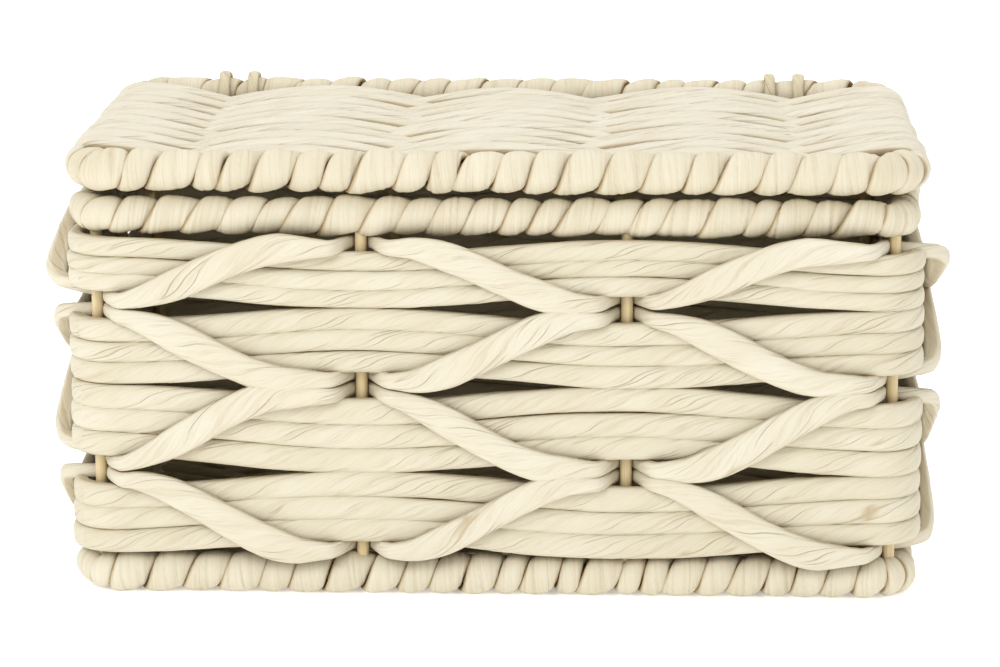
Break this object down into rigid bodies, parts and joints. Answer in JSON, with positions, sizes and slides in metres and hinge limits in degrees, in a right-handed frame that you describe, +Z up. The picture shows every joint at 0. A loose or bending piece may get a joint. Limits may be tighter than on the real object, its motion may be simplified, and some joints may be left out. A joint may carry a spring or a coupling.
{
  "type": "lidded woven storage basket",
  "caption": "Low rectangular storage basket of twisted paper strands woven on reed stakes, with wrapped rims and a flat lid tied on at the back.",
  "frame": {"origin": "middle of the base, on the surface the basket stands on", "axes": "+X to the right along the long front, +Y to the back where the lid is tied on, +Z up"},
  "size_m": [0.3358, 0.2206, 0.1727],
  "materials": {
    "wall_strand": "matte twisted paper rope, cream",
    "lacing_strand": "matte twisted paper rope, cream",
    "rim_wrap": "matte pleated paper wrap, cream",
    "lid_strand": "matte twisted paper rope, pale cream",
    "reed": "smooth dry reed",
    "rim_rod": "rattan pole",
    "tie_cord": "matte twisted paper cord"
  },
  "bodies": {
    "basket": {"base_rod": "rim_rod", "base_wrap": "rim_wrap", "base_cross_rods": "reed", "base_strands": "wall_strand", "top_rod": "rim_rod", "top_wrap": "rim_wrap", "stake_front_left": "reed", "stake_front_mid_left": "reed", "stake_front_mid_right": "reed", "stake_front_right": "reed", "stake_right_mid": "reed", "stake_back_right": "reed", "stake_back_mid_right": "reed", "stake_back_mid_left": "reed", "stake_back_left": "reed", "stake_left_mid": "reed", "row_1_lower_strand": "wall_strand", "row_1_middle_strand": "wall_strand", "row_1_upper_strand": "wall_strand", "row_2_lower_strand": "wall_strand", "row_2_middle_strand": "wall_strand", "row_2_upper_strand": "wall_strand", "row_3_lower_strand": "wall_strand", "row_3_middle_strand": "wall_strand", "row_3_upper_strand": "wall_strand", "row_4_lower_strand": "wall_strand", "row_4_middle_strand": "wall_strand", "row_4_upper_strand": "wall_strand", "row_1_lacing": "lacing_strand", "row_2_lacing": "lacing_strand", "row_3_lacing": "lacing_strand", "row_4_lacing": "lacing_strand", "left_hinge_tie": "tie_cord", "right_hinge_tie": "tie_cord"},
    "lid": {"lid_rod": "rim_rod", "lid_front_wrap": "rim_wrap", "lid_back_wrap": "rim_wrap", "lid_cross_rods": "reed", "lid_strand_01": "lid_strand", "lid_strand_02": "lid_strand", "lid_strand_03": "lid_strand", "lid_strand_04": "lid_strand", "lid_strand_05": "lid_strand", "lid_strand_06": "lid_strand", "lid_strand_07": "lid_strand", "lid_strand_08": "lid_strand", "lid_strand_09": "lid_strand", "lid_strand_10": "lid_strand", "lid_strand_11": "lid_strand", "lid_strand_12": "lid_strand", "lid_strand_13": "lid_strand", "lid_strand_14": "lid_strand", "lid_strand_15": "lid_strand", "lid_strand_16": "lid_strand", "lid_strand_17": "lid_strand", "lid_strand_18": "lid_strand", "lid_strand_19": "lid_strand"}
  },
  "joints": [
    {"name": "lid_hinge", "type": "hinge", "parent": "basket", "child": "lid", "pos_m": [0, 0.0945, 0.1617], "axis": [-1, 0, 0], "range_deg": [0, 200]}
  ]
}
